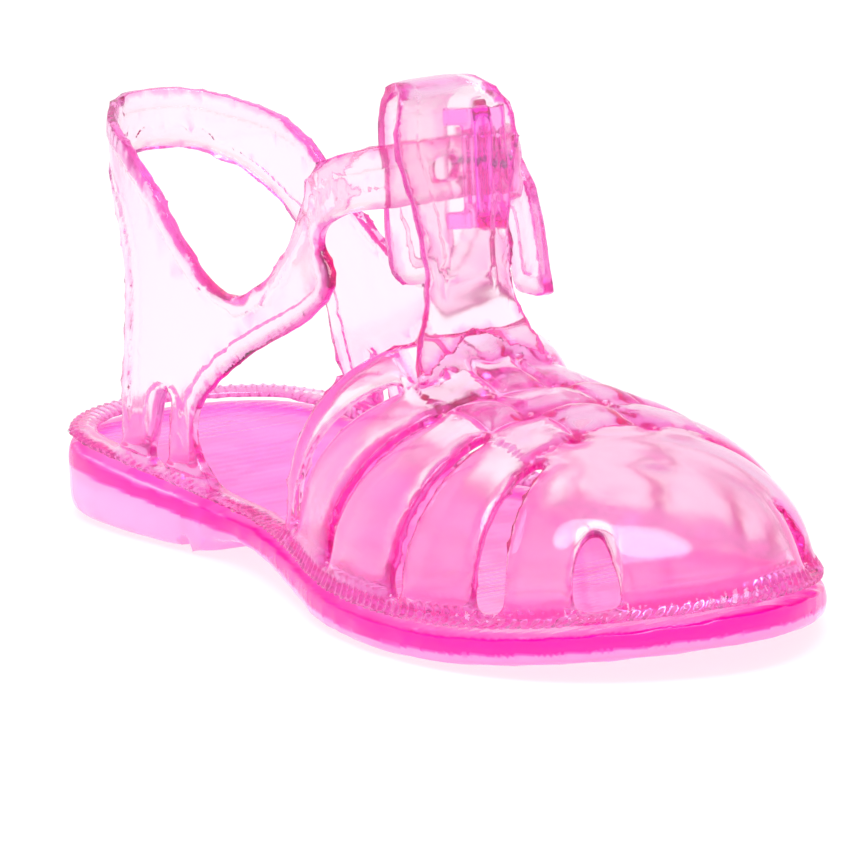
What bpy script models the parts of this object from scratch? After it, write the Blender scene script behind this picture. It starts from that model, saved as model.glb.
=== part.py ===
"""A child's clear moulded water shoe for the left foot, closed by an ankle strap and a side buckle.

The toe points along +X, the outer side of the foot along +Y, and the sole stands on Z = 0.
Sizes are in millimetres, measured from the back of the heel along X and from the heel's middle
line along Y. place() brings a point to metres, about the middle of the shoe's length and width.
"""

import math

import bmesh
import bpy
import numpy as np
from mathutils import Vector

MM = 0.001
GAP = 0.3  # clearance between neighbouring pieces
WELD = 0.02  # points closer than this become one
SLIVER = 0.01  # edges shorter than this are dissolved
SHARP_ANGLE = math.radians(40)


def table(columns, *rows):
    """Rows of numbers as named columns."""
    return {name: np.array(column, float) for name, column in zip(columns.split(), zip(*rows))}


# Sole: outline half widths on the inner and outer side, and heights of its lower and upper edge
LENGTH = 150.0
OUTLINE = table(
    "x inner outer",
    (0, 0, 0),
    (3, 12.0, 12.0),
    (12, 20.3, 20.3),
    (25, 22.0, 22.0),
    (45, 20.5, 21.4),
    (58, 19.9, 22.3),
    (75, 23.5, 26.3),
    (95, 29.5, 30.6),
    (112, 30.5, 31.0),
    (130, 26.0, 25.0),
    (143, 16.0, 15.9),
    (148, 7.4, 8.8),
    (150, -1.2, 1.2),
)
BREAST_X = 48.0  # front face of the heel block
UNDERSIDE = table(
    "x z",
    (48, 2.0),
    (57, 2.9),
    (66, 2.4),
    (78, 1.0),
    (90, 0.15),
    (98, 0),
    (108, 0),
    (118, 0),
    (128, 0.7),
    (138, 1.7),
    (145, 2.5),
    (150, 3.1),
)
TOP_EDGE = table(
    "x z",
    (0, 10.9),
    (12, 10.5),
    (25, 9.8),
    (41, 8.3),
    (54, 7.0),
    (66, 6.4),
    (78, 5.5),
    (95, 4.7),
    (112, 4.5),
    (128, 5.2),
    (138, 6.2),
    (145, 7.1),
    (150, 7.9),
)
SOLE_SIDE = table(  # inset from the outline, and share of the way from lower to upper edge
    "inset share",
    (1.0, 0.0),
    (0.25, 0.07),
    (0.0, 0.20),
    (0.0, 0.40),
    (0.7, 0.46),
    (0.7, 0.56),
    (0.0, 0.62),
    (0.0, 0.90),
    (0.6, 1.0),
)
OUTLINE_STEPS = 34
TURN_STEP = 0.004  # small angle over which the outline's direction is read
BREAST_HALF = 0.2  # half length of the step between heel block and waist
STATION_GAP = 0.03  # least angle between a station and that step
CAP_SHARES = (0.72, 0.36, 0.0)  # loops that close the sole's top and underside over its middle line
CAP_PULL = 0.10
BED_DISH = 0.5

# Underside: recesses inside a rim, and the lugs that stand in them
RIM = 5.0
RECESS = table("x0 x1 depth steps", (BREAST_X + 2.5, 146.0, 1.6, 26), (4.6, 39.0, 5.8, 12))
RECESS_ACROSS = 6
RIM_STEPS = 160
BELOW = -2.0  # cutters start under the ground
BAR_GROOVE_X = (42.4, 44.6)
BAR_GROOVE_DEPTH = 2.4
STAR_POINTS = 5
STAR_WAIST = 0.46
LUG_RISE = 0.1  # a lug stops this far above the rim's lower edge
LUG_ROOT = 0.9
HOLLOW_ROOF = 0.8
RING_STEPS = 20
ARC_STEPS = 8
SMALL_STAR = 4.3
STAR_ROWS = table(  # x of a row of small stars, y of its first star, and how many
    "x y0 count",
    (71.4, -10.0, 3),
    (80.6, -19.3, 4),
    (90.2, -19.3, 4),
    (99.8, -19.3, 4),
    (110.0, -19.3, 4),
    (121.3, -14.4, 3),
    (133.0, -9.6, 2),
)
STAR_PITCH = 12.5
HEEL_STARS = table("x y radius", (33.2, -9.4, 6.0), (33.2, 9.4, 6.0))
HEEL_RING_X = 20.2
HEEL_RING_RADII = (11.6, 6.4)
SIZE_RING = table("x y radius width", (56.5, 0.0, 5.6, 1.1))
ARC_RADIUS = 12.5
ARC_WIDTH = 1.3
ARC_X = 49.0
ARC_Y = 14.0

# Welt: the moulded cord that binds the foot of the upper to the sole's edge
WELT = table(
    "inset rise",
    (0.7, 0.0),
    (0.1, 0.7),
    (0.3, 1.5),
    (1.1, 2.0),
    (2.4, 1.9),
    (5.0, 1.3),
    (5.0, 0.0),
)
WALL = 1.9
FOOT_INSET = 1.9  # outer face of the upper's wall, in from the outline
FOOT_RISE = 0.8

# Vamp: slots between its bands, from the throat to the toe. foot_x is where a slot meets the sole,
# crest_x where its line crosses the ridge, reach how far up it is open, and curve how full its
# sides are: 1 for a straight taper, more for a pointed arch.
SLOTS = table(
    "foot_x crest_x foot_gap top_gap reach curve",
    (75.8, 90.8, 1.8, 1.2, 1.0, 1.0),
    (91.9, 98.8, 1.9, 1.1, 1.0, 1.0),
    (111.8, 107.6, 2.0, 1.1, 1.0, 1.0),
    (128.5, 116.6, 4.6, 1.3, 1.0, 1.4),
    (141.5, 124.4, 6.6, 0.4, 0.65, 2.2),
)
THROAT_FOOT_X = 71.6
THROAT_CREST_X = 86.2
TOE_CREST_X = 127.5
BAND_STEPS = (3, 4, 4, 3, 3, 4)
CREST = table(
    "x y z",
    (85, 0.6, 35.4),
    (88, 0.7, 31.8),
    (92, 0.8, 29.2),
    (98, 1.0, 27.9),
    (106, 1.2, 27.2),
    (115, 1.5, 26.0),
    (122, 1.6, 24.7),
    (128, 1.6, 23.2),
)
FULLNESS = table("x power", (86, 3.0), (96, 2.4), (110, 2.2), (128, 2.3))
BAND_CROWN = 0.6
END_CROWN = 0.6  # share of the crown on the first and last band
WOVEN_CROWN = 0.5  # and where the strips leave a gap
CROWN_RUN = 3.0  # the crown is full this many times before the top of a slot
RAIL = 0.05  # share of the height kept solid above the welt
RIDGE_LIMIT = 0.6  # strips reach no further than this share of the way down
LEAN_UP = 0.5  # share of a line's lean that follows its height, the rest its way inwards
SLOT_STEPS = 8
# Woven strips along the ridge: distance of their edges from its line, at the throat and at the toe
STRIPS = table("throat toe", (10.0, 13.5), (4.6, 7.2), (3.0, 5.2))
STRIP_STEPS = 3
MIDDLE_STEPS = 2
WEAVE_RISE = 0.8
STRIP_CROWN = 0.35
UNDER_DIP = 0.6
STRIP_EDGE = 0.5

# Heel part: sections of its wall from the middle of the back to the strap. A section runs from its
# lower end, at the sole where low_z is 0, to the topline.
QUARTER = table(
    "low_x low_z top_x top_z",
    (2.6, 44.0, 2.6, 57.0),
    (3.6, 44.0, 3.6, 57.0),
    (6.6, 42.0, 6.4, 56.7),
    (11.4, 40.0, 11.0, 55.6),
    (16.4, 36.0, 16.2, 54.6),
    (19.6, 28.0, 21.0, 53.2),
    (20.0, 18.0, 25.4, 51.0),
    (20.6, 0.0, 29.0, 48.6),
    (26.0, 0.0, 32.0, 46.2),
    (30.0, 0.0, 34.6, 44.3),
    (33.3, 0.0, 37.2, 42.4),
    (37.9, 0.0, 39.6, 40.8),
    (43.0, 0.0, 43.0, 38.6),
    (48.0, 0.0, 46.2, 37.0),
    (53.0, 0.0, 49.4, 36.1),
    (58.5, 0.0, 52.4, 36.3),
    (59.5, 19.0, 55.4, 37.2),
    (61.0, 24.0, 58.6, 38.9),
    (64.0, 28.0, 61.8, 41.2),
    (68.0, 30.5, 65.4, 45.0),
    (73.0, 32.5, 68.8, 50.0),
    (78.0, 34.5, 71.6, 54.2),
    (82.0, 38.5, 73.8, 56.8),
    (81.4, 45.0, 75.6, 58.2),
)
# Openings cut in that wall, seen from the side: under the back band, and between quarter and vamp
HEEL_OPENING = table(
    "x z",
    (27.8, 0.0),
    (27.2, 11.0),
    (25.4, 14.6),
    (24.2, 20.0),
    (23.8, 28.0),
    (22.6, 35.0),
    (18.8, 40.6),
    (12.8, 44.9),
    (7.2, 47.4),
    (2.0, 48.2),
    (-8.0, 48.2),
    (-8.0, 0.0),
)
INNER_OPENING = table(
    "x z",
    (62.0, 0.0),
    (61.4, 7.4),
    (56.0, 8.4),
    (50.6, 9.4),
    (47.2, 10.8),
    (45.0, 12.5),
    (43.7, 14.6),
    (43.2, 17.0),
    (44.0, 19.4),
    (46.0, 21.6),
    (49.4, 24.2),
    (53.3, 26.6),
    (57.2, 28.6),
    (61.2, 30.4),
    (66.2, 32.4),
    (71.2, 34.7),
    (74.6, 36.8),
    (76.9, 38.8),
    (77.9, 40.8),
    (77.4, 42.5),
    (75.8, 43.9),
    (74.2, 45.3),
    (73.2, 47.0),
    (73.2, 49.2),
    (74.2, 54.0),
    (74.2, 64.0),
    (95.0, 64.0),
    (95.0, 0.0),
)
OUTER_OPENING = table(
    "x z",
    (62.0, 0.0),
    (61.4, 7.4),
    (56.0, 8.4),
    (50.6, 9.4),
    (47.2, 10.8),
    (45.0, 12.5),
    (43.7, 14.6),
    (43.2, 17.0),
    (44.0, 19.4),
    (46.0, 21.6),
    (49.4, 24.2),
    (53.3, 26.6),
    (57.2, 28.6),
    (61.2, 30.4),
    (65.4, 32.4),
    (69.2, 34.8),
    (72.4, 37.6),
    (74.6, 40.6),
    (75.7, 44.0),
    (75.6, 47.6),
    (74.4, 51.0),
    (74.0, 64.0),
    (95.0, 64.0),
    (95.0, 0.0),
)
OPENING_REACH = 40.0
BACK_X = 2.6
NOSE = 26.0  # length over which the back rounds into the sides
ANKLE_HALF = 14.5
ANKLE_Z = 46.0
SLIT_ROWS = (10, 11)
SLIT_STEPS = 2
SLIT_PINCH = 1.0
ACROSS = (0.0, 0.16, 0.34, 0.5, 0.66, 0.84, 1.0)

# Ankle strap: middle of its lower edge from the inner quarter, behind the T bar, out through the
# buckle, back on itself and down. lean is its width's turn from upright towards the toe.
STRAP_WIDE = 8.8
STRAP_WALL = 2.2
STRAP = table(
    "x y z lean",
    (71.8, -13.6, 45.4, -12),
    (73.6, -13.6, 46.5, -11),
    (75.3, -13.3, 48.2, -8),
    (76.7, -12.4, 49.3, -4),
    (77.8, -10.2, 49.8, 0),
    (78.6, -6.8, 50.0, 0),
    (78.9, -3.0, 50.0, 0),
    (78.8, 0.6, 50.0, 0),
    (78.4, 3.6, 50.0, 0),
    (78.1, 6.0, 50.0, 0),
    (78.3, 8.4, 50.0, 0),
    (78.1, 12.7, 49.2, 0),
    (76.2, 15.2, 48.2, 0),
    (73.8, 16.6, 47.4, 0),
    (68.8, 17.0, 46.8, 0),
    (64.4, 17.1, 46.4, 0),
    (63.0, 17.5, 46.2, 0),
    (62.4, 18.6, 46.2, 0),
    (62.8, 19.7, 46.2, 4),
    (64.0, 20.1, 46.2, 10),
    (65.0, 20.1, 45.6, 32),
    (65.6, 20.0, 44.4, 58),
    (66.0, 19.9, 42.4, 82),
    (66.6, 19.8, 38.6, 88),
    (67.2, 19.8, 36.0, 88),
    (67.6, 19.9, 34.4, 88),
    (67.6, 19.9, 33.6, 88),
)
STRAP_HOLES = (7, 10)  # rows after which the strap has a hole
STRAP_ACROSS = (0.0, 0.17, 0.34, 0.66, 0.83, 1.0)
HOLE_LEVEL = 2
STRAP_END = 0.7  # share of its width left at the free end's corners

# Buckle: a moulded frame between an inner and an outer bar, hinged on the outer quarter's tab
BAR_INNER = (81.9, 6.3)
BAR_OUTER = (73.4, 11.0)
BAR_RADIUS = 1.25
FRAME_LOW, FRAME_TOP = 46.6, 62.2
FRAME_CORNER = 2.4
CORNER_STEPS = 4
GRIP = table(  # plate on the inner bar and its two lips: reach to both sides of the bar, and heights
    "near far low high thick",
    (-2.9, 2.7, 46.4, 62.4, 1.1),
    (-5.2, -2.0, 60.2, 62.4, 1.6),
    (-5.2, -2.0, 46.4, 48.6, 1.6),
)
GRIP_HEADING = math.radians(58.4)
TAB_WALL = 1.9
TAB_ROOT = table(
    "x y z lean",
    (71.6, 13.6, 44.6, -24),
    (73.2, 13.6, 47.4, -16),
    (74.6, 13.5, 49.6, -6),
)
TAB_TURN = (75.0, -105.0)
TAB_TURN_STEPS = 7
TAB_RETURN = 2.6
PRONG_RADIUS = 0.6
PRONG_TURN = (-78.0, 50.0)
PRONG_STEPS = 7
PRONG_SHORT = 1.4  # its tip stops this far from the inner bar, behind the plate

# T bar: rises from the weave, folds back over the strap and hangs behind it
BAR_WALL = 2.0
TBAR_Y = 0.2
TBAR_RISE = table(
    "x z half",
    (90.4, 28.6, 10.4),
    (88.9, 31.4, 10.0),
    (87.8, 34.4, 8.6),
    (87.2, 38.0, 7.1),
    (86.9, 42.0, 6.6),
    (86.6, 46.0, 6.8),
    (86.3, 50.0, 7.5),
    (85.9, 55.0, 8.7),
    (85.6, 58.4, 9.5),
    (85.3, 61.4, 9.3),
)
FOLD_DEPTH = 10.4
FOLD_RISE = 4.8
FOLD_HALF = table("turn half", (0, 9.3), (30, 8.5), (60, 7.1), (90, 5.8), (140, 5.2), (180, 5.0))
FOLD_STEPS = 7
TBAR_FALL = table(
    "x z half",
    (74.9, 56.4, 5.0),
    (75.0, 50.6, 5.0),
    (75.1, 45.0, 5.0),
    (75.2, 42.0, 4.8),
    (75.3, 39.8, 4.0),
    (75.4, 38.4, 2.6),
)
TBAR_ACROSS = 5

PINK = (1.0, 0.32, 0.62, 1.0)
STEEL = (0.55, 0.55, 0.57, 1.0)
FINISHES = {  # colour, roughness and metallic value
    "sole_pink": (PINK, 0.18, 0.0),
    "upper_pink": (PINK, 0.12, 0.0),
    "buckle_pink": (PINK, 0.15, 0.0),
    "prong_steel": (STEEL, 0.3, 1.0),
}


def read(rows, column, at, key="x"):
    """Smooth cubic reading of a column at a place along the key column."""
    keys, values = rows[key], rows[column]
    slopes = np.gradient(values, keys)
    i = int(np.clip(np.searchsorted(keys, at) - 1, 0, len(keys) - 2))
    span = keys[i + 1] - keys[i]
    t = (np.clip(at, keys[0], keys[-1]) - keys[i]) / span
    return (
        (1 + 2 * t) * (1 - t) ** 2 * values[i]
        + t * (1 - t) ** 2 * span * slopes[i]
        + t**2 * (3 - 2 * t) * values[i + 1]
        + t**2 * (t - 1) * span * slopes[i + 1]
    )


def turn_at(x):
    """Angle along the outline, from 0 at the heel to pi at the toe, of a place along X."""
    return math.acos(np.clip(1 - 2 * x / LENGTH, -1, 1))


OUTLINE["turn"] = np.array([turn_at(x) for x in OUTLINE["x"]])


def half_width(side, turn):
    return read(OUTLINE, "inner" if side < 0 else "outer", turn, key="turn")


EVEN_TURNS = np.linspace(0, math.pi, OUTLINE_STEPS + 1)
MIDDLE_Y = sum(side * max(half_width(side, turn) for turn in EVEN_TURNS) for side in (-1, 1)) / 2


def place(point):
    """A point in millimetres from the heel, in metres about the shoe's middle."""
    x, y, z = point
    return Vector((x - LENGTH / 2, y - MIDDLE_Y, z)) * MM


def edge_point(side, turn, inset=0.0):
    """Point of the outline in plan, moved square to it towards the inside."""

    def bare(angle):
        return np.array([LENGTH * (1 - math.cos(angle)) / 2, side * half_width(side, angle)])

    before = bare(max(turn - TURN_STEP, 0.0))
    after = bare(min(turn + TURN_STEP, math.pi))
    along = (after - before) / np.linalg.norm(after - before)
    inward = np.array([along[1], -along[0]]) * side
    if turn in (0.0, math.pi):
        inward = np.array([1.0 if turn == 0 else -1.0, 0.0])
    return bare(turn) + inset * inward


def underside(x):
    return 0.0 if x < BREAST_X else max(0.0, float(read(UNDERSIDE, "z", x)))


def top_edge(x):
    return float(read(TOP_EDGE, "z", x))


def middle_line(x):
    turn = turn_at(x)
    return (half_width(1, turn) - half_width(-1, turn)) / 2


def outline_turns():
    """Angles of the sole's stations, with a pair at the heel's front face."""
    breast = [turn_at(BREAST_X - BREAST_HALF), turn_at(BREAST_X + BREAST_HALF)]
    kept = [turn for turn in EVEN_TURNS if min(abs(turn - edge) for edge in breast) > STATION_GAP]
    return sorted(kept + breast)


def stations():
    """Side and angle of each point round the outline, inner side first."""
    turns = outline_turns()
    return [(-1, turn) for turn in turns] + [(1, turn) for turn in reversed(turns[1:-1])]


def new_object(name, bm, home, smooth=True, closed=True):
    if closed:
        bmesh.ops.triangulate(bm, faces=bm.faces)
        bmesh.ops.recalc_face_normals(bm, faces=bm.faces)
    mesh = bpy.data.meshes.new(name)
    bm.to_mesh(mesh)
    bm.free()
    if smooth:
        mesh.shade_smooth()
        mesh.set_sharp_from_angle(angle=SHARP_ANGLE)
    piece = bpy.data.objects.new(name, mesh)
    home.objects.link(piece)
    return piece


def as_tool(piece):
    piece.hide_render = True
    piece.display_type = "WIRE"
    return piece


def join(piece, tool, operation="UNION"):
    boolean = piece.modifiers.new(tool.name, "BOOLEAN")
    boolean.object = tool
    boolean.operation = operation


def solidify(piece, thickness, offset):
    wall = piece.modifiers.new("wall", "SOLIDIFY")
    wall.thickness = thickness * MM
    wall.offset = offset
    wall.use_even_offset = True
    piece.modifiers.new("flat_faces", "TRIANGULATE")


def loft(name, rings, home, round_section=False):
    """Closed solid through rings of equal count. The last ring meets the first on a round section."""
    bm = bmesh.new()
    loops = [[bm.verts.new(place(point)) for point in ring] for ring in rings]
    pairs = list(zip(loops, loops[1:]))
    if round_section:
        pairs.append((loops[-1], loops[0]))
    for low, high in pairs:
        for i in range(len(low)):
            j = (i + 1) % len(low)
            bm.faces.new((low[i], low[j], high[j], high[i]))
    bmesh.ops.remove_doubles(bm, verts=bm.verts, dist=WELD * MM)
    bmesh.ops.dissolve_degenerate(bm, edges=bm.edges, dist=SLIVER * MM)
    return new_object(name, bm, home)


def sheet(name, columns, rows, where, is_open, home):
    """Grid of columns by rows cells, each corner placed by where(i, j), without the open cells."""
    bm = bmesh.new()
    bmesh.ops.create_grid(bm, x_segments=columns, y_segments=rows, size=0.5)
    spot = {v: (round((v.co.x + 0.5) * columns), round((v.co.y + 0.5) * rows)) for v in bm.verts}
    holes = []
    for face in bm.faces:
        i = min(spot[v][0] for v in face.verts)
        j = min(spot[v][1] for v in face.verts)
        if is_open(i, j):
            holes.append(face)
    for v, (i, j) in spot.items():
        v.co = place(where(i, j))
    bmesh.ops.delete(bm, geom=holes, context="FACES")
    bmesh.ops.remove_doubles(bm, verts=bm.verts, dist=WELD * MM)
    return new_object(name, bm, home, closed=False)


def prism(name, outline, low, high, home):
    """Flat outline in plan, raised from one height to another."""
    bm = bmesh.new()
    face = bm.faces.new([bm.verts.new(place((x, y, low))) for x, y in outline])
    raised = bmesh.ops.extrude_face_region(bm, geom=[face])
    lift = [item for item in raised["geom"] if isinstance(item, bmesh.types.BMVert)]
    bmesh.ops.translate(bm, verts=lift, vec=(0, 0, (high - low) * MM))
    return new_object(name, bm, home, smooth=False)


def side_prism(name, outline, near, far, home):
    """Flat outline seen from the side, reaching from one place across to another."""
    bm = bmesh.new()
    face = bm.faces.new([bm.verts.new(place((x, near, z))) for x, z in zip(*outline.values())])
    drawn = bmesh.ops.extrude_face_region(bm, geom=[face])
    move = [item for item in drawn["geom"] if isinstance(item, bmesh.types.BMVert)]
    bmesh.ops.translate(bm, verts=move, vec=(0, (far - near) * MM, 0))
    return new_object(name, bm, home, smooth=False)


def sole_body(home):
    """Sole before its recesses are cut: side loops, closed above and below over the middle line."""
    around = stations()

    def level(x, share):
        return underside(x) + share * (top_edge(x) - underside(x))

    def cap(inset, share, width, sink):
        ring = []
        for side, turn in around:
            x = edge_point(side, turn)[0]
            middle = np.array([x + (LENGTH / 2 - x) * CAP_PULL, middle_line(x)])
            ring.append((*(middle + (edge_point(side, turn, inset) - middle) * width),
                         level(x, share) - sink * (1 - width)))
        return ring

    first, last = SOLE_SIDE["inset"][0], SOLE_SIDE["inset"][-1]
    rings = [cap(first, 0.0, width, 0.0) for width in reversed(CAP_SHARES)]
    for inset, share in zip(SOLE_SIDE["inset"], SOLE_SIDE["share"]):
        rings.append([(*edge_point(s, t, inset), level(edge_point(s, t)[0], share)) for s, t in around])
    rings += [cap(last, 1.0, width, BED_DISH) for width in CAP_SHARES]
    return loft("sole", rings, home)


def recess_tool(name, x0, x1, depth, steps, home):
    """Cutter whose roof follows the underside, inside the rim."""
    turns = np.linspace(0, math.pi, RIM_STEPS + 1)[1:-1]
    inner = {side: np.array([edge_point(side, turn, RIM) for turn in turns]) for side in (-1, 1)}
    for line in inner.values():
        line[:, 0] = np.maximum.accumulate(line[:, 0])

    def where(i, j):
        x = x0 + (x1 - x0) * (1 - math.cos(math.pi * i / steps)) / 2
        low, high = (np.interp(x, inner[side][:, 0], inner[side][:, 1]) for side in (-1, 1))
        return x, low + (high - low) * j / RECESS_ACROSS, underside(x) + depth

    tool = sheet(name, steps, RECESS_ACROSS, where, lambda i, j: False, home)
    bm = bmesh.new()
    bm.from_mesh(tool.data)
    down = bmesh.ops.extrude_face_region(bm, geom=bm.faces[:])
    for item in down["geom"]:
        if isinstance(item, bmesh.types.BMVert):
            item.co.z = BELOW * MM
    bmesh.ops.recalc_face_normals(bm, faces=bm.faces)
    bm.to_mesh(tool.data)
    bm.free()
    return as_tool(tool)


def star(x, y, radius):
    """Outline of a five pointed star with one point towards the toe."""
    points = []
    for k in range(2 * STAR_POINTS):
        reach = radius * (1 if k % 2 == 0 else STAR_WAIST)
        angle = math.pi * k / STAR_POINTS
        points.append((x + reach * math.cos(angle), y + reach * math.sin(angle)))
    return points


def ring_outline(x, y, radius, count):
    return [(x + radius * math.cos(2 * math.pi * k / count), y + radius * math.sin(2 * math.pi * k / count))
            for k in range(count)]


def arc_outline(side):
    """Quarter ridge from the waist's edge to the heel's bar."""
    angles = np.linspace(0, math.pi / 2, ARC_STEPS + 1)
    outer = [(ARC_RADIUS + ARC_WIDTH / 2, angle) for angle in angles]
    inner = [(ARC_RADIUS - ARC_WIDTH / 2, angle) for angle in reversed(angles)]
    return [(ARC_X + r * math.cos(a), side * (ARC_Y - r * math.sin(a))) for r, a in outer + inner]


def add_lug(sole, name, outline, depth, home):
    """Lug standing down from a recess of the given depth."""
    x = sum(point[0] for point in outline) / len(outline)
    low = underside(x) + LUG_RISE
    join(sole, as_tool(prism(name, outline, low, underside(x) + depth + LUG_ROOT, home)))


def make_sole(home, tools):
    sole = sole_body(home)
    for n, (x0, x1, depth, steps) in enumerate(zip(*RECESS.values())):
        join(sole, recess_tool(f"recess_{n}", x0, x1, depth, int(steps), tools), "DIFFERENCE")
    x0, x1 = BAR_GROOVE_X
    half = OUTLINE["outer"].max()
    groove = [(x0, -half), (x1, -half), (x1, half), (x0, half)]
    join(sole, as_tool(prism("bar_groove", groove, BELOW, BAR_GROOVE_DEPTH, tools)), "DIFFERENCE")
    fore_depth, heel_depth = RECESS["depth"]
    for row, (x, y0, count) in enumerate(zip(*STAR_ROWS.values())):
        for k in range(int(count)):
            add_lug(sole, f"star_{row}_{k}", star(x, y0 + k * STAR_PITCH, SMALL_STAR), fore_depth, tools)
    for k, (x, y, radius) in enumerate(zip(*HEEL_STARS.values())):
        add_lug(sole, f"heel_star_{k}", star(x, y, radius), heel_depth, tools)
    outer, inner = HEEL_RING_RADII
    add_lug(sole, "heel_ring", star(HEEL_RING_X, 0, outer), heel_depth, tools)
    hollow = prism("heel_hollow", star(HEEL_RING_X, 0, inner), BELOW, heel_depth - HOLLOW_ROOF, tools)
    join(sole, as_tool(hollow), "DIFFERENCE")
    for side in (-1, 1):
        add_lug(sole, f"arc_{side}", arc_outline(side), fore_depth, tools)
    x, y, radius, width = (column[0] for column in SIZE_RING.values())
    add_lug(sole, "size_ring", ring_outline(x, y, radius, RING_STEPS), fore_depth, tools)
    inside = ring_outline(x, y, radius - width, RING_STEPS)
    bore = prism("size_bore", inside, BELOW, underside(x) + fore_depth, tools)
    join(sole, as_tool(bore), "DIFFERENCE")
    return sole


def make_welt(tools):
    rings = []
    for inset, rise in zip(WELT["inset"], WELT["rise"]):
        ring = []
        for side, turn in stations():
            ring.append((*edge_point(side, turn, inset), top_edge(edge_point(side, turn)[0]) + GAP + rise))
        rings.append(ring)
    return as_tool(loft("welt", rings, tools, round_section=True))


class Vamp:
    """Vamp surface: lines run from the sole's edge up to the ridge, crossed by levels."""

    def __init__(self):
        self.lines = []
        for band, steps in enumerate(BAND_STEPS):
            self.lines += [(band, k / steps) for k in range(steps + 1)]
        self.levels = [("slot", 0.0), ("slot", RAIL)]
        self.levels += [("slot", RAIL + (1 - RAIL) * (k + 1) / SLOT_STEPS) for k in range(SLOT_STEPS)]
        self.levels += [("strip", (k + 1) / STRIP_STEPS) for k in range(STRIP_STEPS)]
        self.levels += [("gap", 1.0)]
        self.levels += [("middle", (k + 1) / MIDDLE_STEPS) for k in range(MIDDLE_STEPS)]

    def slot_edge(self, slot, front, share):
        """Angle at the sole and place on the ridge of a slot's edge, share of the way up."""
        foot_turn = turn_at(SLOTS["foot_x"][slot])
        foot_gap, top_gap = SLOTS["foot_gap"][slot], SLOTS["top_gap"][slot]
        climbed = min(share / SLOTS["reach"][slot], 1.0) ** SLOTS["curve"][slot]
        gap = foot_gap + (top_gap - foot_gap) * climbed
        half = gap / 2 if front else -gap / 2
        ahead, behind = (edge_point(-1, foot_turn + step) for step in (TURN_STEP, -TURN_STEP))
        per_turn = np.linalg.norm(ahead - behind) / (2 * TURN_STEP)
        return foot_turn + half / per_turn, SLOTS["crest_x"][slot] + half

    def line_at(self, line, share):
        """Angle at the sole and place on the ridge of a line, share of the way up."""
        band, along = self.lines[line]
        count = len(SLOTS["reach"])
        throat = (turn_at(THROAT_FOOT_X), THROAT_CREST_X)
        rear = throat if band == 0 else self.slot_edge(band - 1, True, share)
        front = (math.pi, TOE_CREST_X) if band == count else self.slot_edge(band, False, share)
        return tuple(a + (b - a) * along for a, b in zip(rear, front))

    def strip_edge(self, column, x):
        t = np.clip((x - THROAT_CREST_X) / (TOE_CREST_X - THROAT_CREST_X), 0, 1)
        return STRIPS["throat"][column] + (STRIPS["toe"][column] - STRIPS["throat"][column]) * t

    def point(self, side, line, level):
        kind, part = self.levels[level]
        turn, crest_x = self.line_at(line, part if kind == "slot" else 1.0)
        foot = edge_point(side, turn, FOOT_INSET)
        foot_z = top_edge(foot[0]) + GAP + FOOT_RISE
        crest = np.array([crest_x, read(CREST, "y", crest_x)])
        crest_z = read(CREST, "z", crest_x)
        reach = np.linalg.norm(foot - crest)
        outer, inner, half = (min(self.strip_edge(c, crest_x), RIDGE_LIMIT * reach) / reach for c in range(3))
        away = {
            "slot": lambda: math.acos(outer) / (math.pi / 2) * part,
            "strip": lambda: math.acos(outer + (inner - outer) * part) / (math.pi / 2),
            "gap": lambda: math.acos(half) / (math.pi / 2),
            "middle": lambda: math.acos(half * (1 - part)) / (math.pi / 2),
        }[kind]() * math.pi / 2
        power = 2 / read(FULLNESS, "power", crest_x)
        inwards = 1 - max(math.cos(away), 0.0) ** power
        upwards = math.sin(away) ** power
        x = foot[0] + (crest[0] - foot[0]) * (LEAN_UP * upwards**2 + (1 - LEAN_UP) * inwards)
        y = foot[1] + (crest[1] - foot[1]) * inwards
        z = foot_z + (crest_z - foot_z) * upwards
        out = (foot - crest) / reach
        face = np.array([out[0] * math.cos(away), out[1] * math.cos(away), math.sin(away)])
        return np.array([x, y, z]) + face * self.relief(line, level)

    def relief(self, line, level):
        """Height of the bands' crown and of the weave above the wall."""
        band, along = self.lines[line]
        kind, part = self.levels[level]
        crown = BAND_CROWN * 4 * along * (1 - along)
        if band in (0, len(SLOTS["reach"])):
            crown *= END_CROWN
        if kind == "slot":
            return crown * min(1.0, part * CROWN_RUN)
        if kind == "gap" or band >= len(SLOTS["reach"]) - 1:
            return crown * WOVEN_CROWN
        column = 0 if kind == "strip" else 1
        strip = STRIP_CROWN * (4 * part * (1 - part) if kind == "strip" else 1.0)
        over = (band + column) % 2 == 0
        inside = 0.0 < along < 1.0
        if not inside:
            return STRIP_EDGE * strip
        return WEAVE_RISE + strip if over else crown - UNDER_DIP * strip

    def is_slot(self, line):
        """Slot that opens between this line and the next, or None."""
        here, there = self.lines[line], self.lines[line + 1]
        return here[0] if there[0] != here[0] else None

    def is_open(self, line, level):
        half = len(self.levels) - 1
        level = min(level, 2 * half - 1 - level)
        slot = self.is_slot(line)
        if slot is None:
            return False
        kind, part = self.levels[level + 1]
        if kind == "slot":
            return level > 0 and part <= SLOTS["reach"][slot]
        return kind == "gap" and SLOTS["reach"][slot] == 1.0

    def build(self, home):
        half = len(self.levels) - 1

        def where(i, j):
            return self.point(-1, i, j) if j <= half else self.point(1, i, 2 * half - j)

        vamp = sheet("upper", len(self.lines) - 1, 2 * half, where, self.is_open, home)
        solidify(vamp, WALL, -1)
        return vamp


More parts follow.
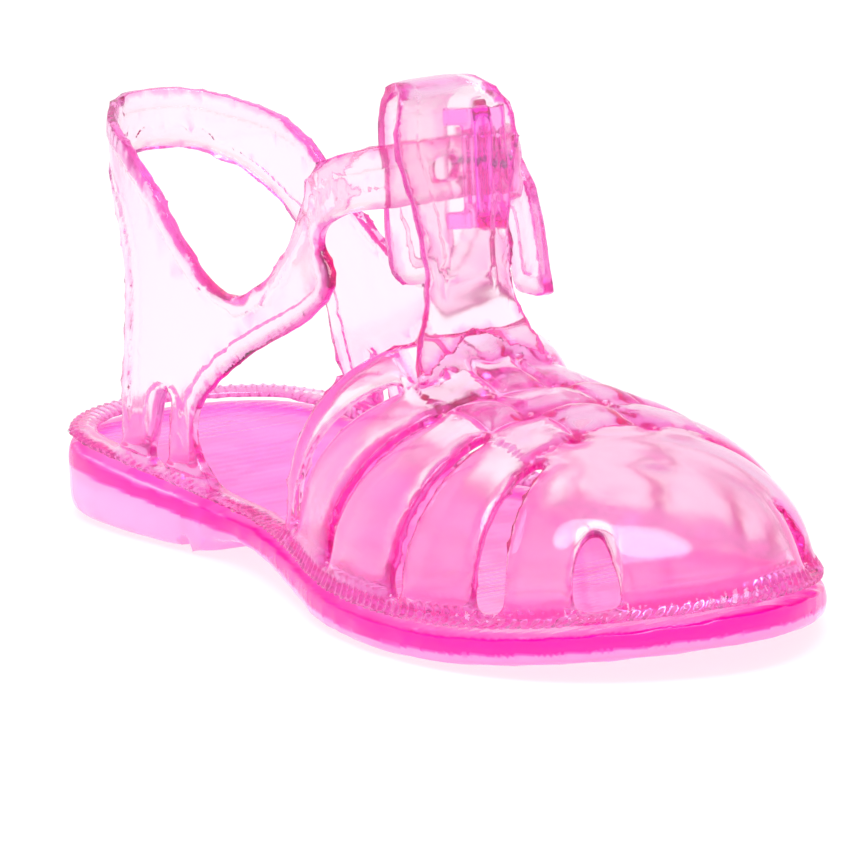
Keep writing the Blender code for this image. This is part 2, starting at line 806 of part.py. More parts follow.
def heel_wall(side, x, z):
    """Half width of the heel part, leaning in from the sole to the ankle and rounding at the back."""
    turn = turn_at(max(x, BACK_X + NOSE))
    foot = half_width(side, turn) - FOOT_INSET
    rise = np.clip((z - top_edge(x)) / (ANKLE_Z - top_edge(x)), 0, 1)
    nose = math.sqrt(max(0.0, 1 - max(0.0, 1 - (x - BACK_X) / NOSE) ** 2))
    return nose * (foot + (ANKLE_HALF - foot) * rise)


def quarter_point(side, row, share):
    low_x, low_z, top_x, top_z = (QUARTER[name][row] for name in ("low_x", "low_z", "top_x", "top_z"))
    low_z = max(low_z, top_edge(low_x) + GAP + FOOT_RISE)
    x = low_x + (top_x - low_x) * share
    z = low_z + (top_z - low_z) * share
    if row in SLIT_ROWS:
        x += SLIT_PINCH * math.sin(math.pi * min(1.0, share / ACROSS[SLIT_STEPS + 1])) * (
            1 if row == SLIT_ROWS[0] else -1)
    return np.array([x, side * heel_wall(side, x, z), z])


def make_belt(tools):
    """Both quarters with the back band between them, and the openings cut through them."""
    count = len(QUARTER["low_x"])
    rows = [(1, k) for k in reversed(range(1, count))] + [(-1, k) for k in range(count)]
    last = len(ACROSS) - 1

    def where(i, j):
        return quarter_point(*rows[i], ACROSS[j])

    def is_open(i, j):
        pair = sorted((rows[i][1], rows[i + 1][1]))
        return pair == list(SLIT_ROWS) and j < SLIT_STEPS

    belt = sheet("belt", len(rows) - 1, last, where, is_open, tools)
    solidify(belt, WALL, -1)
    reach = OPENING_REACH
    for name, opening, near, far in (
        ("heel_opening", HEEL_OPENING, -reach, reach),
        ("inner_opening", INNER_OPENING, -reach, 0.0),
        ("outer_opening", OUTER_OPENING, 0.0, reach),
    ):
        join(belt, as_tool(side_prism(name, opening, near, far, tools)), "DIFFERENCE")
    return as_tool(belt)


def ribbon(name, rows, wall, holes, tools):
    """Strap through rows of lower edge and lean, with a hole after each row that holes names."""
    last = len(STRAP_ACROSS) - 1

    def where(i, j):
        x, y, z, lean = rows[i]
        share = STRAP_ACROSS[j]
        if i == len(rows) - 1:
            share = 0.5 + (share - 0.5) * STRAP_END
        lean = math.radians(lean)
        return x + STRAP_WIDE * share * math.sin(lean), y, z + STRAP_WIDE * share * math.cos(lean)

    strap = sheet(name, len(rows) - 1, last, where, lambda i, j: j == HOLE_LEVEL and i in holes, tools)
    solidify(strap, wall, 0)
    return as_tool(strap)


def make_tab(tools):
    """Tab of the outer quarter: to the buckle, round its outer bar and back, notched for the prong."""
    inner, outer, _, _ = frame_axes()
    radius = BAR_RADIUS + GAP + TAB_WALL / 2
    heading = math.atan2(*(inner - outer)[::-1])
    z = STRAP["z"].max()
    rows = list(zip(*TAB_ROOT.values()))
    for turn in np.radians(np.linspace(*TAB_TURN, TAB_TURN_STEPS + 1)) + heading:
        rows.append((*(outer + radius * np.array([math.cos(turn), math.sin(turn)])), z, 0))
    ahead = np.array(rows[-1][:2]) - np.array(rows[-2][:2])
    rows.append((*(np.array(rows[-1][:2]) + ahead / np.linalg.norm(ahead) * TAB_RETURN), z, 0))
    first = len(TAB_ROOT["x"])
    return ribbon("buckle_tab", rows, TAB_WALL, range(first, first + TAB_TURN_STEPS), tools)


def make_strap(tools):
    return ribbon("ankle_strap", list(zip(*STRAP.values())), STRAP_WALL, STRAP_HOLES, tools)


def tbar_rows():
    """Path and half width of the T bar, up the front, over the fold and down behind the strap."""
    rows = list(zip(*TBAR_RISE.values()))
    top_x, top_z = TBAR_RISE["x"][-1], TBAR_RISE["z"][-1]
    for k in range(1, FOLD_STEPS + 1):
        turn = 180.0 * k / FOLD_STEPS
        angle = math.radians(turn)
        x = top_x - FOLD_DEPTH / 2 * (1 - math.cos(angle))
        z = top_z + FOLD_RISE * math.sin(angle)
        rows.append((x, z, float(read(FOLD_HALF, "half", turn, key="turn"))))
    return rows + list(zip(*TBAR_FALL.values()))


def make_tbar(tools):
    rows = tbar_rows()

    def where(i, j):
        x, z, half = rows[i]
        return x, TBAR_Y + half * (2 * j / TBAR_ACROSS - 1), z

    tbar = sheet("t_bar", len(rows) - 1, TBAR_ACROSS, where, lambda i, j: False, tools)
    solidify(tbar, BAR_WALL, 0)
    return as_tool(tbar)


def make_upper(home, tools):
    upper = Vamp().build(home)
    for make in (make_welt, make_belt, make_tbar, make_strap, make_tab):
        join(upper, make(tools))
    return upper


def wire(name, points, radius, home, cyclic=False, resolution=2):
    """Round bar along points, as a closed mesh."""
    curve = bpy.data.curves.new(name, "CURVE")
    curve.dimensions = "3D"
    curve.bevel_depth = radius * MM
    curve.bevel_resolution = resolution
    curve.use_fill_caps = True
    spline = curve.splines.new("POLY")
    spline.points.add(len(points) - 1)
    for spot, point in zip(spline.points, points):
        spot.co = (*place(point), 1)
    spline.use_cyclic_u = cyclic
    drawn = bpy.data.objects.new(name + "_path", curve)
    home.objects.link(drawn)
    bpy.context.view_layer.update()
    mesh = bpy.data.meshes.new_from_object(drawn.evaluated_get(bpy.context.evaluated_depsgraph_get()))
    bpy.data.objects.remove(drawn)
    bm = bmesh.new()
    bm.from_mesh(mesh)
    bpy.data.meshes.remove(mesh)
    bmesh.ops.remove_doubles(bm, verts=bm.verts, dist=SLIVER * MM)
    return new_object(name, bm, home)


def frame_axes():
    inner, outer = np.array(BAR_INNER), np.array(BAR_OUTER)
    along = (outer - inner) / np.linalg.norm(outer - inner)
    return inner, outer, along, np.array([along[1], -along[0]])


def make_buckle_frame(home, tools):
    """Round cornered frame of round bar, with a grip plate on its inner bar."""
    inner, outer, along, _ = frame_axes()
    width = np.linalg.norm(outer - inner)
    corners = [(0, FRAME_LOW, 180), (width, FRAME_LOW, 270), (width, FRAME_TOP, 0), (0, FRAME_TOP, 90)]
    points = []
    for u, z, start in corners:
        centre_u = u + (FRAME_CORNER if u == 0 else -FRAME_CORNER)
        centre_z = z + (FRAME_CORNER if z == FRAME_LOW else -FRAME_CORNER)
        for k in range(CORNER_STEPS + 1):
            angle = math.radians(start + 90 * k / CORNER_STEPS)
            x, y = inner + along * (centre_u + FRAME_CORNER * math.cos(angle))
            points.append((x, y, centre_z + FRAME_CORNER * math.sin(angle)))
    frame = wire("buckle_frame", points, BAR_RADIUS, home, cyclic=True)
    across = np.array([math.cos(GRIP_HEADING), math.sin(GRIP_HEADING)])
    square = np.array([-across[1], across[0]])
    for k, (near, far, low, high, thick) in enumerate(zip(*GRIP.values())):
        corners = [(near, -thick / 2), (far, -thick / 2), (far, thick / 2), (near, thick / 2)]
        outline = [inner + across * reach + square * deep for reach, deep in corners]
        join(frame, as_tool(prism(f"grip_{k}", outline, low, high, tools)))
    return frame


def make_prong(home):
    """Steel tongue: curls round the outer bar, goes through the strap and ends behind the plate."""
    inner, outer, along, outward = frame_axes()
    z = STRAP["z"].max() + STRAP_WIDE / 2
    radius = BAR_RADIUS + GAP + PRONG_RADIUS
    points = []
    for turn in np.radians(np.linspace(*PRONG_TURN, PRONG_STEPS)):
        x, y = outer + radius * (math.cos(turn) * -along + math.sin(turn) * outward)
        points.append((x, y, z))
    x, y = inner + outward * radius + along * PRONG_SHORT
    points.append((x, y, z))
    return wire("buckle_prong", points, PRONG_RADIUS, home)


def finish(piece, name):
    colour, roughness, metallic = FINISHES[name]
    material = bpy.data.materials.new(name)
    material.use_nodes = True
    shader = material.node_tree.nodes["Principled BSDF"]
    shader.inputs["Base Color"].default_value = colour
    shader.inputs["Roughness"].default_value = roughness
    shader.inputs["Metallic"].default_value = metallic
    piece.data.materials.append(material)


def main():
    for old in list(bpy.data.objects):
        bpy.data.objects.remove(old)
    home = bpy.data.collections.new("water_shoe")
    tools = bpy.data.collections.new("cutters")
    bpy.context.scene.collection.children.link(home)
    bpy.context.scene.collection.children.link(tools)
    finish(make_sole(home, tools), "sole_pink")
    finish(make_upper(home, tools), "upper_pink")
    finish(make_buckle_frame(home, tools), "buckle_pink")
    finish(make_prong(home), "prong_steel")


main()
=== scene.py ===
# %% [markdown]
# # A child's clear jelly water shoe
# The real shoe is one shot of clear pink vinyl, with a moulded buckle added at the ankle.
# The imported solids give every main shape. This lesson turns them into soft mouldings, adds the
# small forms that a mould leaves, and gives each its clear or metal finish.

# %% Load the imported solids
import math

import bmesh
import bpy
import numpy as np
from mathutils import Matrix, Vector


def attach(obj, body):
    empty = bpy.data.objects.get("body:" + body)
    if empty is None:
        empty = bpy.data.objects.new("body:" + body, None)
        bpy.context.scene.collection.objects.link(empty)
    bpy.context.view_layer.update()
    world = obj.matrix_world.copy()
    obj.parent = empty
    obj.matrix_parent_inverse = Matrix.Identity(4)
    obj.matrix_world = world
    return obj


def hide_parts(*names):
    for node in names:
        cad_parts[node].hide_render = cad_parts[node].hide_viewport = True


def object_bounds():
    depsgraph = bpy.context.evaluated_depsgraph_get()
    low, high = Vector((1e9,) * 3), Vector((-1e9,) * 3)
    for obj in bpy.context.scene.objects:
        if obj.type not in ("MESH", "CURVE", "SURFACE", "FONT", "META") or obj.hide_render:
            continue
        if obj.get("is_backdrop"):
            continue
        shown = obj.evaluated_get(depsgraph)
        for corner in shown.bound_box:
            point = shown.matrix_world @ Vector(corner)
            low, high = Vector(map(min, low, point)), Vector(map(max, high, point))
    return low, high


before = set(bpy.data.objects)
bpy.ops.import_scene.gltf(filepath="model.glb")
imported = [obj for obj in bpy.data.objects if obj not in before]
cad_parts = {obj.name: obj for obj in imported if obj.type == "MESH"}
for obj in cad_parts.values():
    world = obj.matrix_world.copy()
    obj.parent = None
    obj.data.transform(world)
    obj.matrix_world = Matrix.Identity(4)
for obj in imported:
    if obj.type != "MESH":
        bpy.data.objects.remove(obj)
solid_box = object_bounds()
MM = 0.001
print("nodes", sorted(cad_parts))

# %% [markdown]
# ## Camera
# The shoe stands toe to the right and turned towards us, seen from a little above. A long lens
# keeps its lines calm. The three axes of the view are worked out from the azimuth and the
# elevation, and then rolled a little, since the shoe leans in the picture.

# %% Camera
AZIMUTH, ELEVATION, ROLL = math.radians(58.4), math.radians(12.1), math.radians(-2.6)
TARGET = Vector((0.0, -0.0003, 0.0196))
DISTANCE = 0.85
LENS = 271.3
backward = Vector((math.sin(AZIMUTH) * math.cos(ELEVATION), -math.cos(AZIMUTH) * math.cos(ELEVATION),
                   math.sin(ELEVATION)))
level_right = Vector((math.cos(AZIMUTH), math.sin(AZIMUTH), 0))
level_up = backward.cross(level_right)
right = math.cos(ROLL) * level_right + math.sin(ROLL) * level_up
up = math.cos(ROLL) * level_up - math.sin(ROLL) * level_right
lens = bpy.data.cameras.new("view")
lens.lens = LENS
camera = bpy.data.objects.new("view", lens)
facing = Matrix((right, up, backward)).transposed().to_4x4()
camera.matrix_world = Matrix.Translation(TARGET + DISTANCE * backward) @ facing
bpy.context.scene.collection.objects.link(camera)
bpy.context.scene.camera = camera
print("camera at", tuple(round(v, 3) for v in camera.matrix_world.translation))

# %% [markdown]
# ## Shader sums
# A finish is a web of nodes. This small class wraps one socket, so that a sum on sockets reads as
# a sum in Python, and its one method adds any other node.


# %% Sums on sockets
class Socket:
    """One output in a material, with the operators that add Math nodes to it."""

    def __init__(self, output):
        self.output = output

    def node(self, kind, settings=None, inputs=None, result=0):
        tree = self.output.id_data
        made = tree.nodes.new(kind)
        for key, value in (settings or {}).items():
            if key == "stops":
                elements = made.color_ramp.elements
                while len(elements) < len(value):
                    elements.new(1.0)
                for element, (place, shade) in zip(elements, value):
                    element.position = place
                    element.color = (*shade, 1)
            else:
                setattr(made, key, value)
        for key, value in (inputs or {}).items():
            if isinstance(value, Socket):
                tree.links.new(value.output, made.inputs[key])
            else:
                made.inputs[key].default_value = value
        return Socket(made.outputs[result])

    def sums(self, operation, first, second):
        return self.node("ShaderNodeMath", {"operation": operation}, {0: first, 1: second})

    def __add__(self, other):
        return self.sums("ADD", self, other)

    def __radd__(self, other):
        return self.sums("ADD", other, self)

    def __mul__(self, other):
        return self.sums("MULTIPLY", self, other)

    def __rmul__(self, other):
        return self.sums("MULTIPLY", other, self)


def new_finish(name):
    """A bare material: its shader node, and the object coordinates as a socket."""
    material = bpy.data.materials.new(name)
    material.use_nodes = True
    tree = material.node_tree
    shader = tree.nodes["Principled BSDF"]
    spot = Socket(tree.nodes.new("ShaderNodeTexCoord").outputs["Object"])
    return material, shader, spot


def feed(node, name, value):
    """Sets a node's input to a number or colour, or links a socket to it."""
    if isinstance(value, Socket):
        node.id_data.links.new(value.output, node.inputs[name])
    else:
        node.inputs[name].default_value = value


print("sums ready")

# %% [markdown]
# ## Clear pink vinyl
# Dyed vinyl takes green and some blue out of the light that goes through it, so a thin wall looks
# almost clear while light that runs a long way inside an edge or the sole comes out hot pink. Volume
# absorption does most of that, with one colour and one density. A tint on the skin paints more of that
# glow where the shoe is hottest, and paints shade in the same hot tint in grooves and creases: a point
# attribute says how deep this painted light is at each point. The surface is a polished mould's: very
# smooth, with a faint ripple and a few duller patches.

# %% Clear pink vinyl
IOR = 1.5
PATCH_SCALE, PATCH_DETAIL = 90.0, 1.0
POLISH, DULLING = 0.06, 0.10
RIPPLE_SCALE, RIPPLE_HEIGHT = 260.0, 0.0004


def tint_by_painted_light(start, tints):
    """A colour from the first tint to the last with the band attribute, which holds painted glow and
    shade.
    """
    band = start.node("ShaderNodeAttribute", {"attribute_name": "dye_band"}, result="Fac")
    stops = [(k / (len(tints) - 1), tint) for k, tint in enumerate(tints)]
    return band.node("ShaderNodeValToRGB", {"stops": stops}, {"Fac": band})


def clear_vinyl(name, tints, dye, density, ripple):
    """Clear vinyl with one or more tints on its skin, and a dye inside it."""
    material, shader, spot = new_finish(name)
    feed(shader, "Base Color", tint_by_painted_light(spot, tints) if len(tints) > 1 else (*tints[0], 1.0))
    feed(shader, "Transmission Weight", 1.0)
    feed(shader, "IOR", IOR)
    patches = spot.node("ShaderNodeTexNoise", None,
                        {"Vector": spot, "Scale": PATCH_SCALE, "Detail": PATCH_DETAIL})
    feed(shader, "Roughness", POLISH + DULLING * patches)
    waves = spot.node("ShaderNodeTexNoise", None, {"Vector": spot, "Scale": RIPPLE_SCALE, "Detail": 0.0})
    feed(shader, "Normal", spot.node("ShaderNodeBump", None,
                                     {"Strength": ripple, "Distance": RIPPLE_HEIGHT, "Height": waves}))
    inside = spot.node("ShaderNodeVolumeAbsorption", None, {"Color": (*dye, 1.0), "Density": density})
    feed(material.node_tree.nodes["Material Output"], "Volume", inside)
    return material


# The second tint is painted light: glow where light runs long in the cord and edges, shade in grooves and
# creases
upper_vinyl = clear_vinyl("upper_vinyl", tints=[(0.99, 0.975, 0.93), (1.0, 0.0, 0.60)],
                          dye=(1.0, 0.0, 0.80), density=100.0, ripple=0.08)
buckle_vinyl = clear_vinyl("buckle_vinyl", tints=[(1.0, 0.96, 0.90)],
                           dye=(1.0, 0.0, 0.955), density=700.0, ripple=0.10)
print("clear finishes", upper_vinyl.name, buckle_vinyl.name)

# %% [markdown]
# ## Milky vinyl for the sole
# The sole is thick, and thick vinyl scatters part of the light back, so that it glows from within.
# Scattering in its volume could show that, but it takes many more samples to come out clean. An opaque
# shader that gives off a little light, mixed with the clear one, looks much the same.

# %% Milky vinyl for the sole
MILK_ROUGHNESS, MILK_GLOW = 0.25, 0.35


def make_milky(material, tints, share):
    """Mixes an opaque share that glows a little into clear vinyl."""
    tree = material.node_tree
    clear = Socket(tree.nodes["Principled BSDF"].outputs["BSDF"])
    tint = tint_by_painted_light(clear, tints)
    milk = tint.node("ShaderNodeBsdfPrincipled", None,
                     {"Base Color": tint, "Roughness": MILK_ROUGHNESS,
                      "Emission Color": tint, "Emission Strength": MILK_GLOW})
    mixed = clear.node("ShaderNodeMixShader", None, {0: share, 1: clear, 2: milk})
    feed(tree.nodes["Material Output"], "Surface", mixed)


# The hotter sole tints, clear and milky, are painted glow of light caught in the sole's walls and bed
sole_vinyl = clear_vinyl("sole_vinyl", tints=[(1.0, 0.96, 0.93), (1.0, 0.18, 0.70), (1.0, 0.0, 0.45)],
                         dye=(1.0, 0.0, 0.93), density=60.0, ripple=0.10)
make_milky(sole_vinyl, tints=[(1.0, 0.46, 0.76), (1.0, 0.11, 0.56), (1.0, 0.0, 0.36)], share=0.45)
print("milky finish", sole_vinyl.name)

# %% [markdown]
# ## Copies of the solids
# Each piece starts as a copy of its solid. The solid's triangles are loose, so the copy merges their
# corners before anything else is done to it. A new object then carries it, with its finish.

# %% Copies of the solids
SAME_PLACE = 1e-6


def merged_copy(node):
    """The node's solid as a bmesh, with its loose triangles joined."""
    shape = bmesh.new()
    shape.from_mesh(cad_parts[node].data)
    bmesh.ops.remove_doubles(shape, verts=shape.verts, dist=SAME_PLACE)
    return shape


def new_piece(name, shape, finish):
    mesh = bpy.data.meshes.new(name)
    shape.to_mesh(mesh)
    shape.free()
    mesh.shade_smooth()
    mesh.materials.clear()
    mesh.materials.append(finish)
    piece = bpy.data.objects.new(name, mesh)
    bpy.context.scene.collection.objects.link(piece)
    return piece


print("copies ready")

# %% [markdown]
# ## A skin that can slide
# A Smooth modifier alone would round the flat faces too, but many rounds of it shrink thin walls. Here
# every point slides only along its own normal, towards neighbours that face the same way: flats
# turn into curves, while walls keep their thickness and edges their place. The same arrays tell how
# far a point is from a sharp edge, and where the skin bends into a crease.

# %% A skin that can slide
# Two normals less alike than SHARP have an edge between them
SHARP = 0.82
ALIKE_POWER, GLIDE_SHARE = 10, 0.7


class Skin:
    """The points, normals and edges of a mesh as arrays, in millimetres."""

    def __init__(self, piece):
        self.mesh = piece.data
        count = len(self.mesh.vertices)
        self.spots = np.empty((count, 3))
        self.mesh.vertices.foreach_get("co", self.spots.ravel())
        self.spots /= MM
        ends = np.empty((len(self.mesh.edges), 2), int)
        self.mesh.edges.foreach_get("vertices", ends.ravel())
        self.one, self.two = ends.T
        self.neighbours = np.bincount(self.one, minlength=count) + np.bincount(self.two, minlength=count)
        self.normals = np.empty((count, 3))
        self.read_normals()

    def read_normals(self):
        self.mesh.vertices.foreach_get("normal", self.normals.ravel())

    def slide(self, heights):
        """Moves each point along its normal."""
        self.spots += heights[:, None] * self.normals
        self.mesh.vertices.foreach_set("co", (self.spots * MM).ravel())
        self.mesh.update()
        self.read_normals()

    def alike(self):
        """How alike the normals at each edge's two ends are, up to 1."""
        return (self.normals[self.one] * self.normals[self.two]).sum(1)

    def gather(self, at_one, at_two):
        """Sum at each point of what its edges bring to their first and to their second ends."""
        count = len(self.spots)
        return np.bincount(self.one, at_one, count) + np.bincount(self.two, at_two, count)

    def rise(self, gap):
        """Sum at each point of how far the gaps to its neighbours rise along its normal."""
        at_one = (gap * self.normals[self.one]).sum(1)
        at_two = (gap * self.normals[self.two]).sum(1)
        return self.gather(at_one, -at_two)

    def glide(self, rounds):
        """Slides each point towards neighbours that face the same way."""
        for _ in range(rounds):
            weight = np.clip(self.alike(), 0, 1) ** ALIKE_POWER
            gap = (self.spots[self.two] - self.spots[self.one]) * weight[:, None]
            self.slide(GLIDE_SHARE * self.rise(gap) / self.neighbours)

    def edge_distance(self, reach):
        """Way over the skin from the nearest sharp edge, up to a reach."""
        distance = np.full(len(self.spots), reach)
        sharp = self.alike() < SHARP
        distance[self.one[sharp]] = 0
        distance[self.two[sharp]] = 0
        length = np.linalg.norm(self.spots[self.two] - self.spots[self.one], axis=1)
        for _ in range(int(reach / length.mean()) + 2):
            np.minimum.at(distance, self.two, distance[self.one] + length)
            np.minimum.at(distance, self.one, distance[self.two] + length)
        return distance

    def hollows(self, rounds):
        """How sharply the skin bends up round each point, per millimetre, evened out over the skin."""
        gap = self.spots[self.two] - self.spots[self.one]
        gap *= 2 / (gap * gap).sum(1)[:, None]
        bend = self.rise(gap) / self.neighbours
        for _ in range(rounds):
            bend = self.gather(bend[self.two], bend[self.one]) / self.neighbours
        return bend


def ramp(values, low, high):
    """0 below low, 1 above high, smooth between."""
    part = np.clip((values - low) / (high - low), 0, 1)
    return part * part * (3 - 2 * part)


print("skin ready")

# %% [markdown]
# ## Soft mouldings from the solids
# The solids are made of flat faces, and clear vinyl would show each of them. A copy is remeshed in
# small voxels and smoothed a little, which rounds its edges as a mould does. Then its skin glides, and
# the piece's own relief is pressed in. Decimate takes out faces where the skin is plain.

# %% Soft mouldings
SOFT_ROUNDS, SOFT_SHARE = 1, 0.5


def evaluated(piece):
    """Gives a piece the mesh that its modifiers make."""
    bpy.context.view_layer.update()
    mesh = bpy.data.meshes.new_from_object(piece.evaluated_get(bpy.context.evaluated_depsgraph_get()))
    piece.modifiers.clear()
    old, piece.data = piece.data, mesh
    bpy.data.meshes.remove(old)


def moulding(name, node, voxel, rounds, relief, most_faces, finish):
    """A soft moulding that stands for a CAD node."""
    piece = new_piece(name, merged_copy(node), finish)
    grid = piece.modifiers.new("voxels", "REMESH")
    grid.mode = "VOXEL"
    grid.voxel_size = voxel * MM
    soft = piece.modifiers.new("soft", "SMOOTH")
    soft.factor = SOFT_SHARE
    soft.iterations = SOFT_ROUNDS
    piece.modifiers.new("faces", "TRIANGULATE")
    evaluated(piece)
    skin = Skin(piece)
    skin.glide(rounds)
    if relief:
        skin.slide(relief(skin))
    count = len(piece.data.polygons)
    if count > most_faces:
        fewer = piece.modifiers.new("fewer", "DECIMATE")
        fewer.ratio = most_faces / count
        evaluated(piece)
    piece.data.shade_smooth()
    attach(piece, "root")
    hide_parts(node)
    print(name, count, "faces, kept", len(piece.data.polygons))
    return piece


def mark(piece, band):
    """Stores how deep the skin's hot tint, painted glow and painted shade, is at each point."""
    depth = piece.data.attributes.new("dye_band", "FLOAT", "POINT")
    depth.data.foreach_set("value", band(Skin(piece)))


print("moulding steps ready")

# %% [markdown]
# ## The sole's outline
# The cord runs round the sole, so its twist needs the way along the sole's edge. The sole's side walls
# stand upright: plan places where four points stand above each other are its outline. Sorted by
# their angle about the middle, they give the edge's radius, length and height for any angle.

# %% The sole's outline
STACK, PLAN_DIGITS = 4, 2
FULL_TURN = 2 * math.pi
solid = merged_copy("sole")
corners = np.array([vert.co for vert in solid.verts]) / MM
solid.free()
plan, group, stacked = np.unique(np.round(corners[:, :2], PLAN_DIGITS), axis=0,
                                 return_inverse=True, return_counts=True)
group = group.ravel()
edge = np.flatnonzero(stacked >= STACK)
edge = edge[np.argsort(np.arctan2(plan[edge, 1], plan[edge, 0]))]
edge_plan = plan[edge]
edge_angle = np.arctan2(edge_plan[:, 1], edge_plan[:, 0])
edge_radius = np.linalg.norm(edge_plan, axis=1)
edge_top = np.array([corners[group == k, 2].max() for k in edge])
edge_step = np.linalg.norm(np.roll(edge_plan, -1, axis=0) - edge_plan, axis=1)
edge_length = np.concatenate([[0], np.cumsum(edge_step)])
print(len(edge), "places round the edge,", round(edge_length[-1]), "mm")


# %% Places by the sole's edge
def around(angle, values):
    return np.interp(angle, edge_angle, values, period=FULL_TURN)


def way_along(angle):
    """Length along the outline at an angle about the middle."""
    turn = (angle - edge_angle[0]) % FULL_TURN
    full = np.concatenate([edge_angle - edge_angle[0], [FULL_TURN]])
    return np.interp(turn, full, edge_length)


def edge_place(skin):
    """Angle about the middle, way in from the outline, and height above the sole's top edge."""
    x, y, z = skin.spots.T
    angle = np.arctan2(y, x)
    return angle, around(angle, edge_radius) - np.hypot(x, y), z - around(angle, edge_top)


print("top edge from", edge_top.min().round(1), "to", edge_top.max().round(1), "mm")

# %% [markdown]
# ## Sole
# The plate, heel block, rim and star lugs come from the solid. The foot stands on fine cross ribs,
# which the mould leaves on the bed. Thin bars could make them, but a slide along the normals of all
# points that face up keeps the sole one skin.

# %% Sole
RIB_PITCH, RIB_DEPTH = 1.9, 0.035
RIB_FACING, BED_FACING = (0.85, 0.97), (0.8, 0.95)
# BAND, BAND_FADE, BED_SHARE and WALL_INSET place the sole's painted glow
BAND, BAND_FADE, BED_SHARE = 2.3, 0.3, 0.5
WALL_INSET = (1.4, 2.2)


def ribs(way, pitch):
    """0 on each rib up to 1 between two ribs."""
    return 0.5 - 0.5 * np.cos(FULL_TURN * way / pitch)


def bed_ribs(skin):
    return -RIB_DEPTH * ribs(skin.spots[:, 0], RIB_PITCH) * ramp(skin.normals[:, 2], *RIB_FACING)


def sole_painted_glow(skin):
    """Painted glow: 1 on the side wall's upper part, a share of that on the bed, 0 on the rim and
    underside.
    """
    _, inset, height = edge_place(skin)
    side = (1 - ramp(inset, *WALL_INSET)) * ramp(height, -BAND, -BAND + BAND_FADE)
    return np.maximum(side, BED_SHARE * ramp(skin.normals[:, 2], *BED_FACING))


sole = moulding("sole_moulding", "sole", voxel=0.55, rounds=40, relief=bed_ribs, most_faces=190000,
                finish=sole_vinyl)
mark(sole, sole_painted_glow)

# %% [markdown]
# ## Woven ridge
# Along the vamp's ridge, three strips seem to weave over and under the bands that come up from the
# sole. Real strips could be threaded through each other, but the shoe is all one moulding: pads that
# rise a little, with a narrow groove wherever a strip or a band goes under. The place of a point
# among bands and strips tells which of them lies on top.

# %% Woven ridge
RIDGE_Y = 0.8
# Lines between the bands, from the throat to the toe: x on the ridge and x at the sole
BAND_LINES = ((11.2, -3.4), (15.8, 0.8), (23.8, 16.9), (32.6, 36.8), (41.6, 53.5))
BAND_LEAN = 0.019
BAND_WIDTH = 8.5
# Edges of the strips, away from the ridge's line: at the throat and at the toe
STRIP_EDGES = ((10.0, 13.5), (4.6, 7.2), (3.0, 5.2))
STRIP_ENDS = (11.2, 52.5)
PAD_RISE, PAD_END = 0.3, 1.5
# The third value below is painted shade: the hot tint that the grooves get
GROOVE_DEPTH, GROOVE_WIDTH, GROOVE_SHADE = 0.33, 0.55, 0.8
WEAVE_FACING, WEAVE_LOW, WEAVE_TOP, WEAVE_PAST = (0.3, 0.6), (17, 19), (33, 35), 1


def weave(skin):
    """Rise of the woven pads, and 1 in the grooves beside them down to 0 away from these."""
    x, y, z = skin.spots.T
    away = np.abs(y - RIDGE_Y)
    lines = [crest + BAND_LEAN * (foot - crest) * away for crest, foot in BAND_LINES]
    place = sum(np.clip((x - rear) / (front - rear), 0, 1) for rear, front in zip(lines, lines[1:]))
    band = np.clip(np.floor(place), 0, len(lines) - 2)
    ahead = place - band
    to_band_line = np.minimum(ahead, 1 - ahead) * BAND_WIDTH
    outer, inner, half = (np.interp(x, STRIP_ENDS, ends) for ends in STRIP_EDGES)
    is_middle = away < (inner + half) / 2
    to_strip_edge = np.where(is_middle, np.abs(away - half),
                             np.minimum(np.abs(away - outer), np.abs(away - inner)))
    strip_on_top = (band + is_middle) % 2 == 0
    across = np.where(is_middle, 0.5 + 0.5 * away / half, (away - inner) / (outer - inner))
    strip_crown = across * (1 - across) * ramp(to_band_line, 0, PAD_END)
    crown = np.where(strip_on_top, strip_crown, ahead * (1 - ahead))
    to_groove = np.where(strip_on_top, np.minimum(to_band_line, to_strip_edge), to_band_line)
    on_weave = (place > 0) * (place < len(lines) - 1) * (away < outer + WEAVE_PAST)
    on_weave = on_weave * ramp(skin.normals[:, 2], *WEAVE_FACING)
    on_weave = on_weave * ramp(z, *WEAVE_LOW) * (1 - ramp(z, *WEAVE_TOP))
    grooves = np.exp(-(to_groove / GROOVE_WIDTH) ** 2) * on_weave
    return PAD_RISE * 4 * np.clip(crown, 0, 1) * on_weave - GROOVE_DEPTH * grooves, grooves


print("weave over", len(BAND_LINES) - 1, "bands")

# %% [markdown]
# ## Corded welt
# The upper's foot is a twisted cord, moulded with it: strands that climb over the welt as they run
# along the sole's edge. A rope of wound tubes could be laid there, but it would lie loose on the
# vinyl. A wave that runs along the edge, shifted by the angle round the cord, gives the same twist.

# %% Corded welt
CORD_PITCH, CORD_DEPTH, CORD_TWIST, CORD_LEVEL = 1.6, 0.34, 2.0, 0.75
CORD_IN, CORD_UP, CORD_REACH, CORD_FADE = 1.2, 1.6, 1.7, 0.5


def cord_place(skin):
    """Way along the cord, the angle round it, and 1 near it down to 0 away from it."""
    angle, inset, height = edge_place(skin)
    height = height - CORD_UP
    climb = np.arctan2(height, CORD_IN - inset)
    near = 1 - ramp(np.hypot(height, CORD_IN - inset), CORD_REACH, CORD_REACH + CORD_FADE)
    return way_along(angle), climb, near


def cord(skin):
    way, climb, near = cord_place(skin)
    pitch = edge_length[-1] / round(edge_length[-1] / CORD_PITCH)
    strands = 0.5 + 0.5 * np.cos(FULL_TURN * way / pitch - CORD_TWIST * climb)
    return CORD_DEPTH * (strands - CORD_LEVEL) * near


print(round(edge_length[-1] / CORD_PITCH), "strands round the welt")
